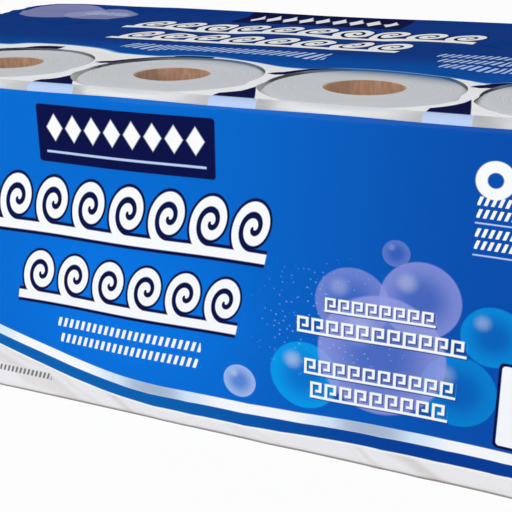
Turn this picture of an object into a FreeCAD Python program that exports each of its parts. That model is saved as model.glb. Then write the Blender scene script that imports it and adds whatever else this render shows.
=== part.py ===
"""Bulk pack of toilet paper rolls in one film wrap.

Rolls stand upright in a grid of columns, rows and layers, each wound on its own cardboard core.
One sheet of polyethylene film is wrapped round them and folded and sealed at both ends.
Millimetres. +X runs along the long front face, +Y from the front to the back, +Z up.
The origin is the middle of the underside, on the surface that the pack stands on.
"""

import FreeCAD, Part
import math
import os

import Sketcher

App = FreeCAD
V = App.Vector
doc = App.newDocument("roll_pack")

# Driving sizes
SIZES = [
    ("column_count", 5, "rolls side by side along the front"),
    ("row_count", 3, "rolls from front to back"),
    ("layer_count", 2, "rolls stacked on each other"),
    ("roll_diameter", 121.4, "outside of the wound tissue"),
    ("roll_length", 102.0, "width of the tissue web, the height of a standing roll"),
    ("roll_gap", 0.6, "clearance between two rolls side by side"),
    ("layer_gap", 0.3, "clearance between the two layers"),
    ("rim_round", 8.0, "rounding of a roll's soft rims"),
    ("core_diameter", 47.0, "outside of the cardboard core"),
    ("core_wall", 1.2, "thickness of the wound cardboard"),
    ("core_gap", 0.1, "clearance between the core and the first turn"),
    ("core_recess", 0.6, "how far a core stops short of the roll's ends"),
    ("turn_start", 4.5, "from the roll's bore to the first marked turn"),
    ("turn_step", 4.6, "between two marked turns"),
    ("turn_width", 1.0, "width of the groove between two turns"),
    ("turn_depth", 0.5, "depth of the groove between two turns"),
    ("film_wall", 0.5, "thickness of the film, drawn thicker than it is"),
    ("film_gap", 0.3, "clearance between the film and the rolls"),
    ("film_sag", 1.8, "how far the film is drawn in between two rolls"),
    ("sag_share", 0.34, "share of the pitch over which the film curves inwards"),
    ("flap_wall", 0.5, "thickness of one folded layer on the ends"),
    ("flap_inset", 9.0, "from the pack's edge to the root of a folded flap"),
    ("flap_slope", 62.0, "how much narrower a flap gets on each side"),
    ("flap_overlap", 16.0, "how far the upper flap laps over the lower one"),
    ("fin_height", 11.0, "width of the crimped end seal"),
    ("fin_wall", 0.8, "thickness of the crimped end seal"),
    ("crimp_count", 3, "crimped lines in the end seal"),
    ("seam_width", 24.0, "width of the lap seam along the back"),
    ("seam_height", 46.0, "from the underside to the middle of the lap seam"),
    ("seam_wall", 0.5, "thickness of the lap seam's second layer"),
]
MARKED_TURNS = 4

sheet = doc.addObject("Spreadsheet::Sheet", "sizes")
for line, (alias, value, meaning) in enumerate(SIZES, 1):
    sheet.set("A%d" % line, meaning)
    sheet.set("B%d" % line, str(value))
    sheet.setAlias("B%d" % line, alias)
doc.recompute()


def size(alias):
    """One driving size, read from the sheet."""
    return float(sheet.get(alias))


def count(alias):
    """One driving count, read from the sheet."""
    return int(round(size(alias)))


COLUMNS = count("column_count")
ROWS = count("row_count")
LAYERS = count("layer_count")

# How the grid is written in expressions
PITCH = "(sizes.roll_diameter + sizes.roll_gap)"
STOREY = "(sizes.roll_length + sizes.layer_gap)"
SKIN = "(sizes.film_wall + sizes.film_gap)"
ROLL_RADIUS = "(sizes.roll_diameter / 2)"
BORE_RADIUS = "(sizes.core_diameter / 2 + sizes.core_gap)"

ROW_NAMES = ["front", "middle", "back"] if ROWS == 3 else ["row%d" % (r + 1) for r in range(ROWS)]
LAYER_NAMES = ["bottom", "top"] if LAYERS == 2 else ["layer%d" % (n + 1) for n in range(LAYERS)]


def origin_plane(body, role):
    """One of a body's own origin planes or axes."""
    return [f for f in body.Origin.OriginFeatures if f.Role == role][0]


def upright_sketch(body, name):
    """A sketch in the body's XZ plane, so that its vertical axis is the body's Z axis."""
    sketch = body.newObject("Sketcher::SketchObject", name)
    sketch.AttachmentSupport = (origin_plane(body, "XZ_Plane"), [""])
    sketch.MapMode = "FlatFace"
    return sketch


def bind(sketch, kind, elements, value, expression):
    """Adds a constraint of that kind and ties it to the sheet."""
    index = sketch.addConstraint(Sketcher.Constraint(kind, *elements, value))
    sketch.setExpression("Constraints[%d]" % index, expression)


def outline(sketch, points):
    """A closed outline of straight lines through the points. Returns the index of its first line."""
    first = sketch.GeometryCount
    for a, b in zip(points, points[1:] + points[:1]):
        sketch.addGeometry(Part.LineSegment(V(*a, 0), V(*b, 0)), False)
    last = first + len(points) - 1
    for n in range(first, last + 1):
        after = n + 1 if n < last else first
        sketch.addConstraint(Sketcher.Constraint("Coincident", n, 2, after, 1))
    return first


def place_in_grid(thing, column, row, layer, lift="0"):
    """Stands a piece in its place in the grid, with expressions on its Placement."""
    x = "%s * %g" % (PITCH, column - (COLUMNS - 1) / 2)
    y = "%s * %g" % (PITCH, row - (ROWS - 1) / 2)
    z = "%s + %s * %d + %s" % (SKIN, STOREY, layer, lift)
    for axis, expression in zip("xyz", (x, y, z)):
        thing.setExpression("Placement.Base." + axis, expression)


def tube_section(sketch, inner, outer, length):
    """A rectangle beside the axis, from the inner to the outer radius. Each of inner, outer and length
    is a value with its expression."""
    (r0, r0_text), (r1, r1_text), (h, h_text) = inner, outer, length
    first = outline(sketch, [(r0, 0), (r1, 0), (r1, h), (r0, h)])
    for n, way in enumerate(["Horizontal", "Vertical", "Horizontal", "Vertical"]):
        sketch.addConstraint(Sketcher.Constraint(way, first + n))
    sketch.addConstraint(Sketcher.Constraint("PointOnObject", first, 1, -1))
    bind(sketch, "DistanceX", (-1, 1, first, 1), r0, r0_text)
    bind(sketch, "DistanceX", (-1, 1, first, 2), r1, r1_text)
    bind(sketch, "DistanceY", (first + 1, 1, first + 1, 2), h, h_text)


def revolve(body, kind, name, sketch):
    """Turns a sketch round its vertical axis, as a Revolution or a Groove."""
    feature = body.newObject("PartDesign::" + kind, name)
    feature.Profile = sketch
    feature.ReferenceAxis = (sketch, ["V_Axis"])
    feature.Angle = 360
    return feature


def tissue_roll(label, column, row, layer):
    """One roll: a wound hollow cylinder with soft rims, and grooves between some turns on both ends."""
    body = doc.addObject("PartDesign::Body", "body_" + label)
    body.Label = label
    bore = size("core_diameter") / 2 + size("core_gap")
    radius = size("roll_diameter") / 2
    length = size("roll_length")

    section = upright_sketch(body, "section_" + label)
    tube_section(
        section,
        (bore, BORE_RADIUS),
        (radius, ROLL_RADIUS),
        (length, "sizes.roll_length"),
    )
    revolve(body, "Revolution", "wound_" + label, section)

    # The marked turns: V grooves, the same on the lower and the upper end
    marks = upright_sketch(body, "turns_" + label)
    for turn in range(MARKED_TURNS):
        at = bore + size("turn_start") + turn * size("turn_step")
        at_text = "%s + sizes.turn_start + %d * sizes.turn_step" % (BORE_RADIUS, turn)
        for end, inward, end_text in ((0.0, 1, "0"), (length, -1, "sizes.roll_length")):
            half = size("turn_width") / 2
            tip = end + inward * size("turn_depth")
            first = outline(marks, [(at - half, end), (at + half, end), (at, tip)])
            marks.addConstraint(Sketcher.Constraint("Horizontal", first))
            bind(marks, "DistanceX", (-1, 1, first + 1, 2), at, at_text)
            bind(marks, "DistanceX", (first, 1, first, 2), 2 * half, "sizes.turn_width")
            bind(marks, "DistanceX", (first, 1, first + 1, 2), half, "sizes.turn_width / 2")
            tip_text = "%s + %d * sizes.turn_depth" % (end_text, inward)
            bind(marks, "DistanceY", (-1, 1, first + 1, 2), tip, tip_text)
            if end:
                bind(marks, "DistanceY", (-1, 1, first, 1), end, end_text)
            else:
                marks.addConstraint(Sketcher.Constraint("PointOnObject", first, 1, -1))
    grooves = revolve(body, "Groove", "grooves_" + label, marks)
    doc.recompute()

    rims = [
        "Edge%d" % n
        for n, edge in enumerate(grooves.Shape.Edges, 1)
        if isinstance(edge.Curve, Part.Circle) and abs(edge.Curve.Radius - radius) < 0.01
    ]
    soft = body.newObject("PartDesign::Fillet", "rims_" + label)
    soft.Base = (grooves, rims)
    soft.setExpression("Radius", "sizes.rim_round")
    body.Tip = soft
    place_in_grid(body, column, row, layer)
    return body


def core_stack(label, column, row):
    """The cardboard cores of the rolls that stand on each other: one tube for each layer, none joined."""
    tubes = []
    for layer in range(LAYERS):
        name = "%s_%d" % (label, layer + 1)
        outside = doc.addObject("Part::Cylinder", "outside_" + name)
        inside = doc.addObject("Part::Cylinder", "inside_" + name)
        outside.setExpression("Radius", "sizes.core_diameter / 2")
        inside.setExpression("Radius", "sizes.core_diameter / 2 - sizes.core_wall")
        for cylinder in (outside, inside):
            cylinder.setExpression("Height", "sizes.roll_length - 2 * sizes.core_recess")
            place_in_grid(cylinder, column, row, layer, "sizes.core_recess")
        tube = doc.addObject("Part::Cut", "tube_" + name)
        tube.Base = outside
        tube.Tool = inside
        tubes.append(tube)
    stack = doc.addObject("Part::Compound", "compound_" + label)
    stack.Label = label
    stack.Links = tubes
    return stack


def wrap_outline(inset):
    """The film's outline seen from above, inset from its outer face by that much: rounded round the corner
    rolls, straight across the ends, and drawn in a little between two rolls on the front and the back."""
    pitch = size("roll_diameter") + size("roll_gap")
    skin = size("film_wall") + size("film_gap") - inset
    corner = size("roll_diameter") / 2 + skin
    half_x = (COLUMNS - 1) / 2 * pitch
    half_y = (ROWS - 1) / 2 * pitch
    sag = size("film_sag")
    dip = size("sag_share") * pitch / 2
    bulge = pitch / 2 - dip
    slope = 2 * sag / (pitch / 2)
    drop = bulge * slope / 2

    def long_side(sign):
        """From the left corner's end to the right corner's, at y = sign * (half_y + corner)."""
        top = sign * (half_y + corner)
        edges = []
        for column in range(COLUMNS - 1):
            x = -half_x + column * pitch
            knee_a = V(x + bulge, top - sign * drop, 0)
            middle = V(x + pitch / 2, top - sign * sag, 0)
            knee_b = V(x + pitch - bulge, top - sign * drop, 0)
            edges.append(curve(V(x, top, 0), V(1, 0, 0), knee_a))
            edges.append(Part.Arc(knee_a, middle, knee_b).toShape())
            edges.append(curve(V(x + pitch, top, 0), V(-1, 0, 0), knee_b))
        return edges

    def curve(start, along, end):
        """The arc that leaves start along that direction and reaches end."""
        chord = end - start
        normal = V(-along.y, along.x, 0)
        radius = chord.dot(chord) / (2 * chord.dot(normal))
        centre = start + normal * radius
        halfway = (start + end) * 0.5 - centre
        middle = centre + halfway * (abs(radius) / halfway.Length)
        return Part.Arc(start, middle, end).toShape()

    def corner_arc(cx, cy, from_angle):
        points = [
            V(cx + corner * math.cos(math.radians(a)), cy + corner * math.sin(math.radians(a)), 0)
            for a in (from_angle, from_angle + 45, from_angle + 90)
        ]
        return Part.Arc(*points).toShape()

    edges = long_side(-1) + long_side(1)
    for cx, cy, angle in (
        (half_x, -half_y, 270),
        (half_x, half_y, 0),
        (-half_x, half_y, 90),
        (-half_x, -half_y, 180),
    ):
        edges.append(corner_arc(cx, cy, angle))
    for sign in (-1, 1):
        x = sign * (half_x + corner)
        edges.append(Part.LineSegment(V(x, -half_y, 0), V(x, half_y, 0)).toShape())
    return Part.Wire(Part.__sortEdges__(edges))


def wrapped_block(inset):
    """The solid inside the film's outer face, inset by that much, with rounded upper and lower edges."""
    height = LAYERS * (size("roll_length") + size("layer_gap")) - size("layer_gap")
    height += 2 * (size("film_wall") + size("film_gap")) - 2 * inset
    edge_round = size("rim_round") + size("film_wall") + size("film_gap") - inset
    block = Part.Face(wrap_outline(inset)).extrude(V(0, 0, height))
    block.translate(V(0, 0, inset))
    low, high = inset, inset + height
    edges = [
        e
        for e in block.Edges
        if e.BoundBox.ZLength < 0.001 and min(abs(e.BoundBox.ZMin - z) for z in (low, high)) < 0.001
    ]
    return block.makeFillet(edge_round, edges)


def end_layer(points, x_from, thickness):
    """A flat layer on an end of the pack, with its outline in Y and Z, from x_from outwards."""
    corners = [V(x_from, y, z) for y, z in points]
    face = Part.Face(Part.makePolygon(corners + corners[:1]))
    return face.extrude(V(thickness, 0, 0))


def end_folds(sign):
    """The folded flaps and the crimped seal on one end, each layer a film's thickness proud of the last."""
    pitch = size("roll_diameter") + size("roll_gap")
    half_x = (COLUMNS - 1) / 2 * pitch + size("roll_diameter") / 2 + size("film_wall") + size("film_gap")
    half_y = (ROWS - 1) / 2 * pitch
    height = LAYERS * (size("roll_length") + size("layer_gap")) - size("layer_gap")
    height += 2 * (size("film_wall") + size("film_gap"))
    root = size("flap_inset")
    wall = size("flap_wall")
    slope = size("flap_slope")
    lap = size("flap_overlap") / 2
    bite = size("film_wall") / 2
    start = sign * (half_x - bite)
    seal = height / 2

    lower = [
        (-half_y, root),
        (half_y, root),
        (half_y - slope, seal + lap),
        (-half_y + slope, seal + lap),
    ]
    upper = [
        (-half_y, height - root),
        (half_y, height - root),
        (half_y - slope, seal - lap),
        (-half_y + slope, seal - lap),
    ]
    layers = [
        end_layer(lower, start, sign * (bite + wall)),
        end_layer(upper, start, sign * (bite + 2 * wall)),
    ]
    fin_low = seal - lap
    fin_high = fin_low + size("fin_height")
    fin_half = half_y - slope
    fin = [(-fin_half, fin_low), (fin_half, fin_low), (fin_half, fin_high), (-fin_half, fin_high)]
    layers.append(end_layer(fin, start, sign * (bite + 2 * wall + size("fin_wall"))))
    crimps = count("crimp_count")
    crimp_step = size("fin_height") / (crimps + 1)
    for n in range(crimps):
        z = fin_low + (n + 1) * crimp_step
        ridge = [
            (-fin_half, z - crimp_step / 4),
            (fin_half, z - crimp_step / 4),
            (fin_half, z + crimp_step / 4),
            (-fin_half, z + crimp_step / 4),
        ]
        depth = bite + 2 * wall + size("fin_wall") + wall / 2
        layers.append(end_layer(ridge, start, sign * depth))
    return layers


def back_seam():
    """The lap seam where the film's two long edges meet, along the back between the corner rolls."""
    pitch = size("roll_diameter") + size("roll_gap")
    half_x = (COLUMNS - 1) / 2 * pitch
    half_width = size("seam_width") / 2
    thicker = wrap_outline(-size("seam_wall"))
    band = Part.Face(thicker).cut(Part.Face(wrap_outline(size("film_wall") / 2)))
    strip = band.extrude(V(0, 0, 2 * half_width))
    strip.translate(V(0, 0, size("seam_height") - half_width))
    behind = Part.makeBox(2 * half_x, ROWS * pitch, 4 * half_width)
    behind.translate(V(-half_x, pitch * ROWS / 4, size("seam_height") - 2 * half_width))
    return strip.common(behind)


def film_wrap():
    """The film: a closed skin round all the rolls, with its folded ends and its seam."""
    skin = wrapped_block(0).cut(wrapped_block(size("film_wall")))
    layers = end_folds(-1) + end_folds(1) + [back_seam()]
    film = doc.addObject("Part::Feature", "film_shape")
    film.Label = "film_wrap"
    film.Shape = skin.fuse(layers).removeSplitter()
    film.Placement = App.Placement(V(0, 0, 0), App.Rotation())
    return film


pieces = [film_wrap()]
for row in range(ROWS):
    for column in range(COLUMNS):
        pieces.append(core_stack("cores_%s_%d" % (ROW_NAMES[row], column + 1), column, row))
        for layer in range(LAYERS):
            place = (LAYER_NAMES[layer], ROW_NAMES[row], column + 1)
            pieces.append(tissue_roll("roll_%s_%s_%d" % place, column, row, layer))
doc.recompute()

for thing in doc.Objects:
    if "Invalid" in thing.State or "Error" in thing.State:
        raise RuntimeError("%s did not build: %s" % (thing.Label, thing.State))
os.makedirs("parts", exist_ok=True)
for piece in pieces:
    if piece.Shape.isNull() or not piece.Shape.isValid():
        raise RuntimeError("%s has no valid shape" % piece.Label)
for piece in pieces:
    piece.Shape.exportStep(os.path.join("parts", piece.Label + ".step"))
box = pieces[0].Shape.optimalBoundingBox()
print("pieces", len(pieces), "pack", round(box.XLength, 2), round(box.YLength, 2), round(box.ZLength, 2))
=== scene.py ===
import math

import bmesh
import bpy
from mathutils import Matrix, Vector, noise


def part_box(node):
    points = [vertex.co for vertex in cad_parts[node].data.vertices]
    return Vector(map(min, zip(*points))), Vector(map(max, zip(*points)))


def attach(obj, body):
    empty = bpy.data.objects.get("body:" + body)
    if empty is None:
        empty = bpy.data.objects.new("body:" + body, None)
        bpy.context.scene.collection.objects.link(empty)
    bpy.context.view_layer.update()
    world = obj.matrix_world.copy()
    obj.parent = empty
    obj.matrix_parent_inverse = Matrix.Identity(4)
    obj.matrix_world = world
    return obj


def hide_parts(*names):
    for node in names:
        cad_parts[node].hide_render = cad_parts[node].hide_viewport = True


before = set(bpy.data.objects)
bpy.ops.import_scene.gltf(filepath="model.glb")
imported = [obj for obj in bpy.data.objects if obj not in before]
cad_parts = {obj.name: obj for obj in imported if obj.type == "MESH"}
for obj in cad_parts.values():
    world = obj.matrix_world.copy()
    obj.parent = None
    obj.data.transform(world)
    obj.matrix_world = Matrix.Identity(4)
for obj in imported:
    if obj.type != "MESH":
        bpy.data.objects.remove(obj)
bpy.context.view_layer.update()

# The rolls of bathroom tissue
# Each is a long web of soft two-ply paper wound on a core and cut square at both ends. Thirty of them stand
# in two layers, five along the front and three deep, and only the film round them holds them together.


class Ink:
    """A socket of a material. Arithmetic on it adds Math nodes, and add() adds any other node."""

    def __init__(self, tree, socket=None):
        self.tree = tree
        self.socket = socket

    def add(self, kind, settings=None, sockets=None, output=0):
        """A node of that type, with its settings and then its sockets' values or links."""
        node = self.tree.nodes.new(kind)
        for name, value in (settings or {}).items():
            setattr(node, name, value)
        for name, value in (sockets or {}).items():
            if isinstance(value, Ink):
                self.tree.links.new(value.socket, node.inputs[name])
            else:
                node.inputs[name].default_value = value
        return Ink(self.tree, node.outputs[output] if node.outputs else None)

    def maths(self, operation, *others):
        return self.add("ShaderNodeMath", {"operation": operation}, dict(enumerate((self, *others))))

    def __add__(self, other):
        return self.maths("ADD", other)

    def __sub__(self, other):
        return self.maths("SUBTRACT", other)

    def __rsub__(self, other):
        return self.maths("MULTIPLY_ADD", -1, other)

    def __mul__(self, other):
        return self.maths("MULTIPLY", other)

    def __truediv__(self, other):
        return self.maths("DIVIDE", other)

    def __pow__(self, other):
        return self.maths("POWER", other)

    def __mod__(self, other):
        return self.maths("FLOORED_MODULO", other)

    def __abs__(self):
        return self.maths("ABSOLUTE")

    __radd__ = __add__
    __rmul__ = __mul__

    def least(self, other):
        return self.maths("MINIMUM", other)

    def most(self, other):
        return self.maths("MAXIMUM", other)

    def rise(self, start, end):
        """0 up to start, 1 from end on, and smooth between them. It falls where end is under start."""
        sockets = {"Value": self, "From Min": start, "From Max": end}
        return self.add("ShaderNodeMapRange", {"interpolation_type": "SMOOTHSTEP"}, sockets)

    def between(self, first, second):
        """The colour that goes from the first to the second as this value goes from 0 to 1."""
        ends = [colour if isinstance(colour, Ink) else (*colour, 1) for colour in (first, second)]
        return self.add("ShaderNodeMix", {"data_type": "RGBA"}, {0: self, 6: ends[0], 7: ends[1]}, 2)

    def over(self, colour, mask):
        """This colour, painted over with another where the mask is 1."""
        return mask.between(self, colour)

    def grain(self, scale, detail=3.0, distortion=0.0):
        """Cloudy noise, from 0 to 1, at this place on the surface."""
        sockets = {"Vector": self, "Scale": scale, "Detail": detail, "Distortion": distortion}
        return self.add("ShaderNodeTexNoise", None, sockets)


def srgb(red, green, blue):
    """A colour given as 0 to 255 on a screen, as the linear values that a material takes."""
    return tuple(
        c / 12.92 if c <= 0.04045 else ((c + 0.055) / 1.055) ** 2.4
        for c in (red / 255, green / 255, blue / 255)
    )


def new_material(name):
    """An empty material, with the place in Object coordinates on its surface."""
    material = bpy.data.materials.new(name)
    material.use_nodes = True
    material.node_tree.nodes.clear()
    return material, Ink(material.node_tree).add("ShaderNodeTexCoord", output=3)


def axes_of(place):
    return [place.add("ShaderNodeSeparateXYZ", None, {0: place}, n) for n in range(3)]


def finish(surface):
    """Makes a shader the surface of its material."""
    surface.add("ShaderNodeOutputMaterial", None, {"Surface": surface})


def distance(a, b):
    return (a * a + b * b) ** 0.5


low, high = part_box("roll_top_front_3")
roll_radius = (high.x - low.x) / 2
roll_top = high.z
roll_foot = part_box("roll_bottom_front_3")[0].z
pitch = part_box("roll_top_front_4")[0].x - low.x
front_row = (low.y + high.y) / 2

tissue, place = new_material("tissue")
x, y, z = axes_of(place)
# A roll's axis is a whole number of pitches away from the middle roll's
off_x = (x / pitch - (x / pitch).maths("ROUND")) * pitch
off_y = (y / pitch - (y / pitch).maths("ROUND")) * pitch
from_axis = distance(off_x, off_y)
drift = place.grain(28)
turns = place.add("ShaderNodeTexNoise", {"noise_dimensions": "1D"}, {"W": from_axis + drift * 0.0012, "Scale": 900.0})
fibre = place.grain(1100, 4.0)
on_end = z.rise(roll_top - 0.0035, roll_top - 0.0002)
# Painted shade: the roll ends are painted greyer than the white sides, with a faint ring tone from the wound turns
# over it
end_shade_and_rings = turns.rise(0.3, 0.7).between(srgb(218, 220, 224), srgb(206, 209, 214))
colour = on_end.between(srgb(250, 250, 250), end_shade_and_rings)
colour = colour.over(srgb(226, 226, 226), fibre.rise(0.55, 0.8) * 0.4)
quilt = place.add("ShaderNodeTexVoronoi", None, {"Vector": place, "Scale": 190.0})
relief = turns * on_end * 0.5 + fibre * 0.5 + quilt * (1 - on_end) * 0.8
bump = place.add("ShaderNodeBump", None, {"Height": relief, "Distance": 0.0004, "Strength": 0.35})
sockets = {"Base Color": colour, "Roughness": 0.92, "Normal": bump, "Specular IOR Level": 0.15}
finish(place.add("ShaderNodeBsdfPrincipled", None, sockets))
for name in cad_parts:
    if name.startswith("roll_"):
        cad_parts[name].material_slots[0].material = tissue

# The front row's upper rolls
# These five show through the clear window. The web is wound turn on turn, so its cut edge makes faint rings
# on the end, and both rims are soft and rounded where the film presses on them.

bore = (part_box("cores_front_3")[1].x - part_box("cores_front_3")[0].x) / 2 + 0.0001
roll_base = low.z
roll_rim = 0.008
ring_step = 0.0021
ring_depth = 0.00014
unevenness = 0.0003
around = 112


def roll_outline():
    """The roll's section as radius and height: over the top end, down the side, and back through the bore."""
    flat = roll_radius - roll_rim - bore
    points = [(bore + flat * n / 66, roll_top) for n in range(66)]
    for n in range(9):
        angle = math.pi / 2 * n / 8
        out = roll_radius - roll_rim + roll_rim * math.sin(angle)
        points.append((out, roll_top - roll_rim + roll_rim * math.cos(angle)))
    side = roll_top - roll_base - 2 * roll_rim
    points += [(roll_radius, roll_top - roll_rim - side * n / 6) for n in range(1, 6)]
    for n in range(9):
        angle = math.pi / 2 * n / 8
        out = roll_radius - roll_rim + roll_rim * math.cos(angle)
        points.append((out, roll_base + roll_rim - roll_rim * math.sin(angle)))
    points += [(bore + flat * n / 5, roll_base) for n in range(4, -1, -1)]
    points += [(bore, roll_base + (roll_top - roll_base) * n / 3) for n in (1, 2)]
    return points


def smooth_object(name, bm):
    """A piece with smooth shading, made from a bmesh that already stands in its place."""
    if "laid" not in bm.verts.layers.float_vector:
        layer = bm.verts.layers.float_vector.new("laid")
        for v in bm.verts:
            v[layer] = v.co
    mesh = bpy.data.meshes.new(name)
    bm.to_mesh(mesh)
    bm.free()
    for polygon in mesh.polygons:
        polygon.use_smooth = True
    piece = bpy.data.objects.new(name, mesh)
    bpy.context.scene.collection.objects.link(piece)
    return piece


for column_number in range(1, 6):
    roll_low, roll_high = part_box("roll_top_front_%d" % column_number)
    bm = bmesh.new()
    outline = [bm.verts.new((out, 0, up)) for out, up in roll_outline()]
    edges = [bm.edges.new((v, outline[n - 1])) for n, v in enumerate(outline)]
    whole_turn = {"cent": (0, 0, 0), "axis": (0, 0, 1), "angle": 2 * math.pi, "use_merge": True}
    bmesh.ops.spin(bm, geom=outline + edges, steps=around, **whole_turn)
    for v in bm.verts:
        out = math.hypot(v.co.x, v.co.y)
        turn = math.atan2(v.co.y, v.co.x) / (2 * math.pi)
        if v.co.z > roll_top - roll_rim:
            near_end = (v.co.z - roll_top + roll_rim) / roll_rim
            ring = 0.5 + 0.5 * math.cos(2 * math.pi * ((out - bore) / ring_step - turn))
            bumps = 0.5 + 0.5 * noise.noise(Vector((v.co.x * 45, v.co.y * 45, column_number * 3.7)))
            v.co.z -= (ring_depth * ring + unevenness * bumps) * near_end
    middle = (roll_low + roll_high) / 2
    bmesh.ops.translate(bm, verts=bm.verts, vec=(middle.x, middle.y, 0))
    bmesh.ops.recalc_face_normals(bm, faces=bm.faces)
    wound_roll = smooth_object("wound_roll_%d" % column_number, bm)
    wound_roll.data.materials.append(tissue)
    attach(wound_roll, "root")
    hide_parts("roll_top_front_%d" % column_number)

# The cardboard cores
# Each core is a tube of brown board, two thin strips wound in a spiral and glued. It is held only by
# the tissue wound tightly round it.

core_board, place = new_material("core_board")
x, y, z = axes_of(place)
off_x = (x / pitch - (x / pitch).maths("ROUND")) * pitch
off_y = (y / pitch - (y / pitch).maths("ROUND")) * pitch
round_tube = off_y.maths("ARCTAN2", off_x) / (2 * math.pi)
strip_edge = abs((round_tube + z / 0.085) % 1 - 0.5).rise(0.482, 0.494)
stretched = place.add("ShaderNodeMapping", None, {"Vector": place, "Scale": (1, 1, 0.25)})
colour = stretched.grain(420, 5.0).rise(0.3, 0.7).between(srgb(206, 160, 126), srgb(180, 132, 98))
colour = colour.over(srgb(120, 82, 56), strip_edge * 0.6)
bump = place.add("ShaderNodeBump", None, {"Height": stretched.grain(600), "Distance": 0.0003, "Strength": 0.4})
sockets = {"Base Color": colour, "Roughness": 0.85, "Normal": bump, "Specular IOR Level": 0.2}
finish(place.add("ShaderNodeBsdfPrincipled", None, sockets))
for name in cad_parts:
    if name.startswith("cores_"):
        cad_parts[name].material_slots[0].material = core_board

# The film wrap
# One sheet of thin glossy polyethylene, printed in blue and white, is drawn tightly round all the rolls and
# folded at both ends. Along the top front edge it is left clear, so that the front row shows.

pack_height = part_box("film_wrap")[1].z
film_clearance = 0.0008
half_length = 2 * pitch + roll_radius + film_clearance
half_depth = pitch + roll_radius + film_clearance
corner = roll_radius + film_clearance
front_face = -half_depth
upper_rim = roll_rim + film_clearance
foot_rim = 0.0008
cell = 0.0034
sag = 0.0017
dip = 0.0016


def wrapped_block():
    """A closed block in small cells, with round upright corners and rounded upper and lower rims."""
    bm = bmesh.new()
    bmesh.ops.create_cube(bm, size=1.0)
    sides = (2 * half_length, 2 * half_depth, pack_height)
    for axis, size in enumerate(sides):
        along = [e for e in bm.edges if abs(e.verts[0].co[axis] - e.verts[1].co[axis]) > 0.5]
        bmesh.ops.subdivide_edges(bm, edges=along, cuts=round(size / cell) - 1, use_grid_fill=True)
    for v in bm.verts:
        flat = Vector((v.co.x * sides[0], v.co.y * sides[1]))
        inner = Vector((half_length - corner, half_depth - corner))
        middle = Vector((max(-inner.x, min(inner.x, flat.x)), max(-inner.y, min(inner.y, flat.y))))
        away = flat - middle
        reach = max(abs(away.x), abs(away.y))
        level = v.co.z * pack_height
        rim = upper_rim if level > 0 else foot_rim
        past_side = reach - (corner - rim)
        past_end = abs(level) - (pack_height / 2 - rim)
        if past_side > 0 and past_end > 0:
            pull = max(past_side, past_end) / math.hypot(past_side, past_end)
            reach = corner - rim + past_side * pull
            level = math.copysign(pack_height / 2 - rim + past_end * pull, level)
        if away.length > 0:
            away = away.normalized() * reach
        v.co = (middle.x + away.x, middle.y + away.y, level + pack_height / 2)
    bmesh.ops.recalc_face_normals(bm, faces=bm.faces)
    bm.normal_update()
    return bm


def between_rolls(along):
    """0 where the film lies on a roll and 1 midway between two rolls."""
    return 0.5 - 0.5 * math.cos(2 * math.pi * along / pitch)


def ease(value):
    """A smooth step from 0 to 1."""
    value = max(0, min(1, value))
    return value * value * (3 - 2 * value)


def crease(p, seed):
    """1 along the lines of sharp creases, and falling away on both sides."""
    return max(0, 1 - abs(noise.noise(p + Vector((seed, seed * 0.7, seed * 1.3)))) * 2.4)


def clear_of_rolls(p):
    """How far a point is from the nearest roll."""
    dx = p.x - pitch * max(-2, min(2, round(p.x / pitch)))
    dy = p.y - pitch * max(-1, min(1, round(p.y / pitch)))
    out = math.hypot(dx, dy) - (roll_radius - roll_rim)
    up = max(p.z - (roll_top - roll_rim), roll_foot + roll_rim - p.z)
    return math.hypot(max(0, out), max(0, up)) + min(0, max(out, up)) - roll_rim


def film_inward(p, n):
    """How far the film lies inside the plain block at a point: its sag, less the folds that stand out."""
    upright = abs(n.z) < 0.8
    room = clear_of_rolls(p) - 0.0002
    inward = 0.0
    tight = sag * ease(p.z / 0.04)
    if upright and abs(p.x) < 2 * pitch:
        inward += tight * between_rolls(p.x) * abs(n.y)
    if upright and abs(p.y) < pitch:
        inward += tight * between_rolls(p.y) * abs(n.x)
    if not upright and p.z > 0.1:
        inward += dip * ease((room - 0.0006) / 0.014) * ease((half_depth - abs(p.y)) / 0.04)
    inward += 0.0003 * (noise.noise(Vector((p.x * 14, p.y * 14, p.z * 5))) + 0.6)
    inward = min(inward, room)
    # Folds run inwards from both ends, where the sheet is gathered
    to_end = max(0.0, half_length - abs(p.x))
    gathered = math.exp(-((to_end / 0.07) ** 2))
    inward -= 0.0014 * gathered * crease(Vector((p.x * 6, p.y * 34, p.z * 34)), 3.1) ** 3
    inward -= 0.0005 * gathered * crease(Vector((p.x * 16, p.y * 90, p.z * 90)), 8.4) ** 2
    # On the ends, gathers spread from the seal's ends towards the upright corners
    if abs(n.x) > 0.5:
        dy = abs(p.y) - (pitch - 0.062)
        dz = p.z - pack_height / 2
        if dy > 0:
            spread = math.atan2(dz, dy) * 7 + noise.noise(Vector((p.y * 25, p.z * 25, p.x))) * 2
            inward -= 0.0016 * ease(dy / 0.03) * ease((0.13 - dy) / 0.05) * max(0, math.cos(spread)) ** 3
    # The sheet is a little loose along its foot, and stands in a low fold along the top's back edge
    foot = math.exp(-((p.z / 0.03) ** 2)) * upright
    inward -= 0.0007 * foot * crease(Vector((p.x * 30, p.y * 30, p.z * 55)), 5.7) ** 2
    inward -= 0.0016 * math.exp(-((p.z / 0.008) ** 2)) * upright
    to_edge = corner - math.hypot(max(0, abs(p.x) - 2 * pitch), max(0, p.y - pitch))
    fold = math.exp(-(((to_edge - 0.010) / 0.012) ** 2)) * ease((p.z - 0.19) / 0.01)
    fold *= ease((p.y - pitch) / 0.03)
    inward -= (0.0012 + 0.0022 * ease((0.05 - p.x) / 0.2)) * fold
    return inward


bm = wrapped_block()
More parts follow.
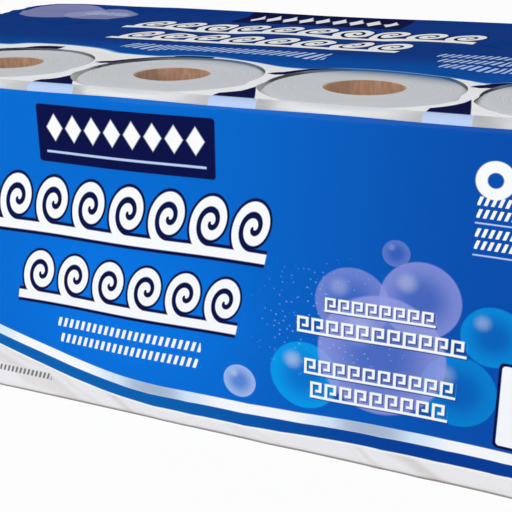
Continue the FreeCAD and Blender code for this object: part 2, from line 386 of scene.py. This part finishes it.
# The print keeps its place on the sheet where the sheet sags, so it reads where each point lay before
laid = bm.verts.layers.float_vector.new("laid")
moved = []
for v in bm.verts:
    v[laid] = v.co
    moved.append(v.co - v.normal * film_inward(v.co, v.normal))
for v, p in zip(bm.verts, moved):
    v.co = (p.x, p.y, max(0.0, p.z))
film = smooth_object("film", bm)


def band(value, start, end, soft=0.0003):
    """1 where the value lies between start and end."""
    return value.rise(start - soft, start + soft) * value.rise(end + soft, end - soft)


def scroll(u, v, left, right, middle, stretch, curls, half_width):
    """A running scroll, a row of curls on a line. Gives the mask of its outline and of its ribbon."""
    width = (right - left) / curls
    turn = width / 3.7
    rise = (v - middle) / stretch
    lean = u - (v - middle) * 0.22
    across = (lean - left) % width - width * 0.58
    arm = distance(across, rise) / turn - rise.maths("ARCTAN2", across) / (2 * math.pi)
    off_arm = abs((arm + 0.5) % 1 - 0.5) * turn
    tail = arm.rise(2.52, 2.48) * across.rise(0.0002, -0.0002) * rise.rise(0.0002, -0.0002)
    curl = arm.rise(1.52, 1.48).most(tail)
    off_line = abs(rise + turn * 1.75)
    on_row = band(lean, left, right) * band(v, middle - turn * 2.4 * stretch, middle + turn * 2 * stretch)
    masks = []
    for half in (half_width + 0.0016, half_width):
        ribbon = off_arm.rise(half + 0.0003, half - 0.0003) * curl
        line = off_line.rise(half + 0.0003, half - 0.0003)
        masks.append(ribbon.most(line) * on_row)
    return masks


def lozenges(u, v, left, right, middle, height, step):
    """A row of lozenges along a line."""
    across = abs((u - left) % step - step / 2)
    size = across / (step * 0.42) + abs(v - middle) / (height / 2)
    return size.rise(1.12, 0.88) * band(u, left, right)


def rope(u, v, left, right, middle, height, step):
    """A row of short slanted strokes along a line."""
    across = (u - (v - middle) * 0.35 - left) % step
    return band(across, step * 0.12, step * 0.62, 0.0002) * band(
        v, middle - height / 2, middle + height / 2, 0.0002
    ) * band(u, left, right, 0.0002)


def key_border(u, v, left, right, middle, height, step):
    """A running key: square hooks side by side on a line."""
    unit = height / 7
    a = ((u - left) % step) / unit
    b = (v - middle) / unit + 3.5
    width = step / unit
    soft = 0.22
    post = band(a, 0, 1.15, soft) * band(b, 0, 7, soft)
    top = band(a, 0, width - 1.2, soft) * band(b, 5.9, 7, soft)
    drop = band(a, width - 2.35, width - 1.2, soft) * band(b, 2.6, 7, soft)
    hook = band(a, 2.2, width - 1.2, soft) * band(b, 2.6, 3.7, soft)
    foot = band(b, 0, 1.1, soft)
    return post.most(top).most(drop.most(hook)).most(foot) * band(u, left, right, 0.0002)


def disc(u, v, at_u, at_v, radius, soft=0.0004):
    return distance(u - at_u, v - at_v).rise(radius + soft, radius - soft)


def tablet(u, v, left, right, low, high, round_by, soft=0.0003):
    """A rectangle with rounded corners."""
    past_u = (abs(u - (left + right) / 2) - ((right - left) / 2 - round_by)).most(0)
    past_v = (abs(v - (low + high) / 2) - ((high - low) / 2 - round_by)).most(0)
    return distance(past_u, past_v).rise(round_by + soft, round_by - soft)


printed_film, place = new_material("printed_film")
sheet = place.add("ShaderNodeAttribute", {"attribute_name": "laid"}, None, 1)
x, y, z = axes_of(sheet)
depth = pack_height - z
azure = srgb(3, 116, 224)
blue = srgb(2, 106, 206)
royal = srgb(4, 76, 170)
deep_blue = srgb(5, 57, 138)
navy = srgb(6, 14, 70)
white = srgb(248, 250, 252)
pale = srgb(184, 206, 242)
lavender = srgb(150, 158, 226)
cyan = srgb(4, 160, 236)
silver = srgb(152, 168, 192)

# The front and the back carry the same print, and the field and the foot run on round the ends
on_top = depth.rise(0.0003, 0.0001)
on_side = abs(y).rise(half_depth - 0.02, half_depth - 0.019) * (1 - on_top)
u = x * (1 - y.rise(-0.15, 0.15) * 2)
colour = u.rise(0.0, 0.24).between(blue, royal)
glow = distance((u + 0.01) / 1.4, z - 0.07).rise(0.085, 0.01)
colour = colour.over(azure, glow)

# The wave along the foot: a silvery white band, a blue band and the white zone
wave = u.rise(0.02, -0.32) * 0.0735 + u.rise(0.06, 0.15) * 0.0034 + 0.0234
fall = wave - z
colour = colour.over(white, fall.rise(-0.0003, 0.0003))
shine = (u * 44.9 + 1.12).maths("SINE")
colour = colour.over(srgb(196, 224, 246), band(fall, 0, 0.0066) * shine.rise(-0.6, 0.4) * 0.7)
colour = colour.over(silver, band(fall, 0, 0.0066) * shine.rise(0.4, 1.0) * 0.75)
colour = colour.over(u.rise(-0.02, 0.2).between(srgb(6, 98, 176), srgb(2, 60, 150)), band(fall, 0.0068, 0.0146))
# Painted shade: soft beige streaks darken the white foot zone where its creases would shade
slant = u * 0.45 + z * 0.9 + place.grain(7, 2.0) * 0.07
crease_shade_streaks = place.add("ShaderNodeTexNoise", {"noise_dimensions": "1D"}, {"W": slant, "Scale": 60.0})
painted_crease_shade = crease_shade_streaks.rise(0.52, 0.72)
foot_zone = fall.rise(0.0146, 0.0166)
colour = colour.over(srgb(234, 233, 234), foot_zone * 0.9)
colour = colour.over(srgb(206, 196, 190), foot_zone * painted_crease_shade * 0.6)
# Painted shadow: a thin dark line along the very foot, where the film meets the floor
colour = colour.over(srgb(150, 141, 134), foot_zone * z.rise(0.0020, 0.0010) * 0.8)
colour = colour.over(srgb(116, 118, 124), rope(u, z, -0.106, -0.065, 0.0135, 0.0042, 0.0031) * on_side)

# A plain tablet with lozenges, two running scrolls and two rows of strokes fill the middle
colour = colour.over(navy, tablet(u, z, -0.059, 0.0565, 0.1595, 0.194, 0.002) * on_side)
colour = colour.over(white, lozenges(u, z, -0.0535, 0.0511, 0.1805, 0.016, 0.0131) * on_side)
colour = colour.over(pale, band(z, 0.1652, 0.1666) * band(u, -0.0535, 0.051) * on_side)
for row in (
    (u, z, -0.093, 0.090, 0.1345, 1.42, 7, 0.0021),
    (u, z, -0.081, 0.071, 0.0865, 1.38, 6, 0.0021),
):
    outline, ribbon = scroll(*row)
    colour = colour.over(navy, outline * on_side)
    colour = colour.over(white, ribbon * on_side)
for row in (
    (u, z, -0.057, 0.044, 0.0545, 0.0062, 0.0043),
    (u, z, -0.056, 0.042, 0.0435, 0.0062, 0.0043),
):
    colour = colour.over(white, rope(*row) * on_side)

# Soft bubbles in lavender and cyan lie to the right, with four rows of key border over them
for at_u, at_z, radius, tint, strength in (
    (0.110, 0.050, 0.021, cyan, 0.85),
    (0.197, 0.057, 0.021, cyan, 0.5),
    (0.213, 0.092, 0.017, cyan, 0.6),
    (0.154, 0.070, 0.036, lavender, 0.75),
    (0.137, 0.099, 0.021, lavender, 0.5),
    (0.174, 0.106, 0.022, lavender, 0.65),
    (0.160, 0.131, 0.0075, lavender, 0.35),
    (0.069, 0.0375, 0.0105, pale, 0.7),
):
    reach = distance(u - at_u, z - at_z) / radius
    shell = reach.rise(1.02, 0.97) * (reach.rise(0.2, 1.0) * 0.7 + 0.3)
    colour = colour.over(tint, shell * strength * on_side)
    glint = distance(u - at_u + radius * 0.34, z - at_z - radius * 0.42).rise(radius * 0.36, radius * 0.05)
    colour = colour.over(white, glint * on_side * strength * 0.35)
mist = place.add("ShaderNodeTexVoronoi", None, {"Vector": place, "Scale": 320.0})
spray = distance((u - 0.125) / 1.2, z - 0.082).rise(0.05, 0.02) * on_side
colour = colour.over(pale, mist.rise(0.2, 0.1) * spray * 0.45)
for row in (
    (0.1217, 0.1830, 0.0962, 0.0086, 0.00766),
    (0.1054, 0.2003, 0.0820, 0.0098, 0.00863),
    (0.1100, 0.1960, 0.0565, 0.0098, 0.00860),
    (0.1138, 0.1925, 0.0420, 0.0104, 0.00875),
):
    colour = colour.over(srgb(4, 40, 120), key_border(u - 0.0007, z + 0.0007, *row) * on_side * 0.8)
    colour = colour.over(white, key_border(u, z, *row) * on_side)

# A plain roll sign, rows of strokes between thin rules, and an empty white panel stand at the far right
ring = disc(u, z, 0.2075, 0.1755, 0.0098) * (1 - disc(u, z, 0.2075, 0.1755, 0.004))
colour = colour.over(white, ring * on_side)
for middle in (0.1645, 0.1580, 0.1480, 0.1415):
    colour = colour.over(white, rope(u, z, 0.1995, 0.2345, middle, 0.0046, 0.0035) * on_side)
for middle in (0.1530, 0.1360):
    colour = colour.over(pale, band(z, middle - 0.0004, middle + 0.0004) * band(u, 0.199, 0.235) * on_side)
colour = colour.over(navy, tablet(u, z, 0.2175, 0.2605, 0.0285, 0.079, 0.003) * on_side)
colour = colour.over(white, tablet(u, z, 0.2192, 0.2588, 0.0302, 0.0773, 0.002) * on_side)

# The clear window over the front row dips a little between two rolls at its back edge. Its front edge
# runs down over the rim as a half-clear strip, which is printed pale at each gap between two rolls.
column = x / pitch
window_back = (x * 5.8).maths("SINE") * -0.020 + (column * (2 * math.pi)).maths("COSINE") * 0.0035 - 0.0635
before_edge = window_back - y
left_x = (column - column.maths("FLOOR")) * pitch
right_x = pitch - left_x
beyond_left = distance(left_x, y - front_row)
beyond_right = distance(right_x, y - front_row)
in_length = abs(x).rise(2 * pitch + 0.001, 2 * pitch - 0.001)
strip = depth.rise(0.0045, 0.0041) * before_edge.rise(-0.0002, 0.0002)
colour = colour.over(white, strip)
along_gap = left_x + (x - 0.182) * 0.0444
at_gap = strip * along_gap.rise(0.0462, 0.0468) * (along_gap + (x - 0.18) * 0.03).rise(0.0728, 0.0722) * in_length
colour = colour.over(pale, at_gap)

crinkle = place.grain(70, 5.0, 0.8)
bump = place.add("ShaderNodeBump", None, {"Height": crinkle, "Distance": 0.0006, "Strength": 0.25})


def film_shader(colour, alpha, coat):
    """The glossy film, printed with that colour and clear where alpha is 0."""
    sockets = {"Base Color": colour, "Alpha": alpha, "Coat Weight": coat, "Normal": bump}
    sockets.update({"Roughness": 0.34, "Specular IOR Level": 0.0, "Coat Roughness": 0.08})
    return place.add("ShaderNodeBsdfPrincipled", None, sockets)


side_shader = film_shader(colour, 1 - strip * (1 - at_gap) * 0.55, 0.07)

# The top carries smaller scrolls, rows of strokes, a tablet and two bubbles
colour = y.rise(-0.07, 0.0).between(srgb(3, 82, 172), deep_blue)
for at_x, at_y, radius, strength in ((-0.248, 0.130, 0.040, 0.6), (-0.205, 0.128, 0.034, 0.6)):
    shell = (distance(x - at_x, y - at_y) / radius).rise(1.02, 0.97)
    colour = colour.over(srgb(168, 170, 212), shell * strength)
for row in (
    (x, y, -0.1390, 0.1530, 0.085, 1.5, 10, 0.0027),
    (x, y, -0.1165, 0.1120, 0.023, 1.5, 8, 0.0027),
):
    outline, ribbon = scroll(*row)
    colour = colour.over(navy, outline)
    colour = colour.over(white, ribbon)
for row in (
    (x, y, -0.086, 0.069, -0.0295, 0.020, 0.0062),
    (x, y, 0.147, 0.205, -0.041, 0.014, 0.0050),
    (x, y, 0.142, 0.205, -0.021, 0.014, 0.0050),
    (x, y, 0.137, 0.205, -0.001, 0.014, 0.0050),
    (x, y, -0.222, -0.178, 0.135, 0.022, 0.0070),
):
    colour = colour.over(pale, rope(*row))
colour = colour.over(navy, tablet(x, y, -0.070, 0.079, 0.117, 0.174, 0.003))
colour = colour.over(white, lozenges(x, y, -0.063, 0.072, 0.1455, 0.034, 0.015))

# Round the gaps between the clear window's rolls the sheet is painted white as painted light, for glare on the
# film and the rolls' lit sides, with a navy wedge in front of each gap and a navy sliver beside the roll behind
# it, both painted shade for the roll walls in shadow inside the gap
in_window = before_edge.rise(-0.0002, 0.0002)
behind = y.rise(front_row + 0.0030, front_row + 0.0040)
reach = roll_radius - behind.most(abs(y - front_row).rise(0.024, 0.008)) * 0.0040
gap = beyond_left.rise(reach, reach + 0.0006) * beyond_right.rise(reach, reach + 0.0006)
gap = gap * in_length * in_window
colour = colour.over(before_edge.rise(0.004, 0.02).between(srgb(70, 120, 180), srgb(210, 218, 224)), in_window)
# Painted light: white where glare on the film and the rolls' lit sides would show in the gaps
colour = colour.over(white, gap)
# Painted shade: a navy sliver beside the roll behind each gap, where its wall lies in shadow
shade_sliver = beyond_right.rise(roll_radius + 0.0082, roll_radius + 0.0074)
colour = colour.over(navy, gap * y.rise(front_row + 0.0165, front_row + 0.0175) * shade_sliver)
# Painted shade: a navy wedge in front of each gap, for the roll wall in shadow below the film
shade_wedge = (beyond_left + (x - 0.18) * 0.035).rise(0.0652, 0.0660) * along_gap.rise(0.0471, 0.0477)
cut = left_x - (0.55 - x * 1.93) * (front_row - 0.0184 - y)
colour = colour.over(navy, gap * (1 - behind) * shade_wedge * cut.rise(0.0638, 0.0632))
colour = colour.over(srgb(110, 172, 222), band(before_edge, -0.0026, 0.0) * 0.8)
haze = before_edge.rise(0.030, 0.0) * 0.5
clear = in_window * (1 - gap) * (0.94 - haze)
top_shader = film_shader(colour, 1 - clear, 0.012)
finish(place.add("ShaderNodeMixShader", None, {0: on_top, 1: side_shader, 2: top_shader}))


def dress(piece):
    """A piece of the film: printed, and in the place of the film's solid."""
    piece.data.materials.append(printed_film)
    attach(piece, "root")
    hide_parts("film_wrap")


dress(film)

# The folded ends
# At each end the sheet's spare length is folded in like an envelope: the lower flap up, the upper flap
# down over it, and the two are joined by a crimped heat seal that lies flat on the end.

flap_root = 0.009
flap_overlap = 0.016
flap_side = 0.062
seal_height = 0.011
film_wall = 0.0003


def folded_sheet(name, bm):
    """A thin film piece with a wall, from a bmesh of its outer face."""
    bmesh.ops.recalc_face_normals(bm, faces=bm.faces)
    piece = smooth_object(name, bm)
    wall = piece.modifiers.new("wall", "SOLIDIFY")
    wall.thickness = film_wall
    wall.offset = 0
    dress(piece)


for side, end in ((-1, "left"), (1, "right")):
    for layer, part in enumerate(("lower", "upper")):
        root = flap_root if layer == 0 else pack_height - flap_root
        tip = pack_height / 2 + flap_overlap * (0.5 - layer)
        bm = bmesh.new()
        bmesh.ops.create_grid(bm, x_segments=96, y_segments=48, size=1)
        for v in bm.verts:
            across, up = v.co.x, (v.co.y + 1) / 2
            y_at = across * (pitch - flap_side * up)
            z_at = root + (tip - root) * up
            inside = min(1, (1 - abs(across)) * 6)
            lines = Vector((side * 3.0 + layer, across * 7 + up * 1.5, up * 1.1))
            fine = Vector((layer + side, across * 24, up * 5))
            out = 0.0009 * ease(up * 7) + layer * 0.0008 * ease(up * 3)
            out += 0.0016 * crease(lines, 2.2 + layer) ** 2 * ease(up * 3) * inside
            out += 0.0006 * crease(fine, 6.1) ** 2 * ease(up * 5) * inside
            out -= 0.0003 * (1 - ease(up * 9)) + 0.0010 * between_rolls(y_at) * (1 - up)
            v.co = (side * (half_length + out), y_at, z_at)
        folded_sheet("end_flap_%s_%s" % (end, part), bm)
    bm = bmesh.new()
    bmesh.ops.create_grid(bm, x_segments=100, y_segments=44, size=1)
    for v in bm.verts:
        y_at = v.co.x * (pitch - flap_side)
        up = (v.co.y + 1) / 2
        crimp = 0.0003 * math.sin(up * math.pi * 9)
        wander = 0.0009 * noise.noise(Vector((y_at * 24, side, 0.4)))
        z_at = pack_height / 2 - flap_overlap / 2 + up * seal_height + wander
        v.co = (side * (half_length + 0.0036 + crimp + abs(wander)), y_at, z_at)
    folded_sheet("end_seal_%s" % end, bm)

# The lap seam along the back
# The sheet's two long edges meet on the back, low down, where the outer one laps over the inner one by
# 24 mm and is heat sealed to it from one corner roll to the other.

seam_middle = 0.046
seam_half = 0.012
bm = bmesh.new()
bmesh.ops.create_grid(bm, x_segments=240, y_segments=10, size=1)
for v in bm.verts:
    x_at = v.co.x * 2 * pitch
    wander = 0.0006 * noise.noise(Vector((x_at * 18, 2.5, v.co.y)))
    z_at = seam_middle + v.co.y * seam_half + wander
    loose = 0.0006 * ease((abs(v.co.y) - 0.7) / 0.3) * max(0, noise.noise(Vector((x_at * 30, 7.5, 0))))
    y_at = half_depth - sag * between_rolls(x_at) + 0.0005 + loose
    v.co = (x_at, y_at, z_at)
folded_sheet("back_seam", bm)

# The studio
# The pack stands on a plain pale floor in soft light from the front. The camera sees white round it.

white_level = 0.94
bpy.ops.mesh.primitive_plane_add(size=12, location=(0, 0, 0))
floor = bpy.context.object
floor.name = "floor"
floor_white, place = new_material("floor_white")
floor.data.materials.append(floor_white)
seen = place.add("ShaderNodeLightPath")
for output in (3, 6):
    seen = seen.most(place.add("ShaderNodeLightPath", output=output))
matt = place.add("ShaderNodeBsdfDiffuse", None, {"Color": (0.9, 0.9, 0.9, 1)})
bright = place.add("ShaderNodeEmission", None, {"Color": (1, 1, 1, 1), "Strength": 1.0})
finish(place.add("ShaderNodeMixShader", None, {0: seen * white_level, 1: matt, 2: bright}))

sky_light = 0.60
world = bpy.data.worlds.new("studio")
bpy.context.scene.world = world
world.use_nodes = True
world.node_tree.nodes.clear()
sky = Ink(world.node_tree)
seen = sky.add("ShaderNodeLightPath")
for output in (3, 6):
    seen = seen.most(sky.add("ShaderNodeLightPath", output=output))
strength = seen * (1 - sky_light) + sky_light
background = sky.add("ShaderNodeBackground", None, {"Color": (1, 1, 1, 1), "Strength": strength})
sky.add("ShaderNodeOutputWorld", None, {"Surface": background})

for name, at, size, power in (
    ("key", (-0.7, -2.1, 1.15), 1.3, 20),
    ("fill", (1.9, -1.3, 1.2), 1.3, 6),
):
    light = bpy.data.lights.new(name, "AREA")
    light.size = size
    light.energy = power
    lamp = bpy.data.objects.new(name, light)
    lamp.location = at
    lamp.rotation_euler = (Vector((0, 0, 0.1)) - Vector(at)).to_track_quat("-Z", "Y").to_euler()
    bpy.context.scene.collection.objects.link(lamp)

# The camera stands to the right of the front and looks down a little, as in the photograph
picture_side = 512
focal_length = 934.82
camera_at = Vector((0.27167, -0.62957, 0.30442))
turn, tilt, roll = 0.40387, -0.3652, -0.00834
ahead = Vector((-math.sin(turn) * math.cos(tilt), math.cos(turn) * math.cos(tilt), math.sin(tilt)))
level = Vector((math.cos(turn), math.sin(turn), 0))
upright = level.cross(ahead)
right = level * math.cos(roll) + upright * math.sin(roll)
up = upright * math.cos(roll) - level * math.sin(roll)
camera = bpy.data.objects.new("camera", bpy.data.cameras.new("camera"))
camera.data.sensor_width = 36
camera.data.lens = 36 * focal_length / picture_side
camera.data.clip_end = 50
camera.matrix_world = Matrix.Translation(camera_at) @ Matrix((right, up, -ahead)).transposed().to_4x4()
bpy.context.scene.collection.objects.link(camera)
bpy.context.scene.camera = camera
bpy.context.scene.view_settings.view_transform = "Standard"
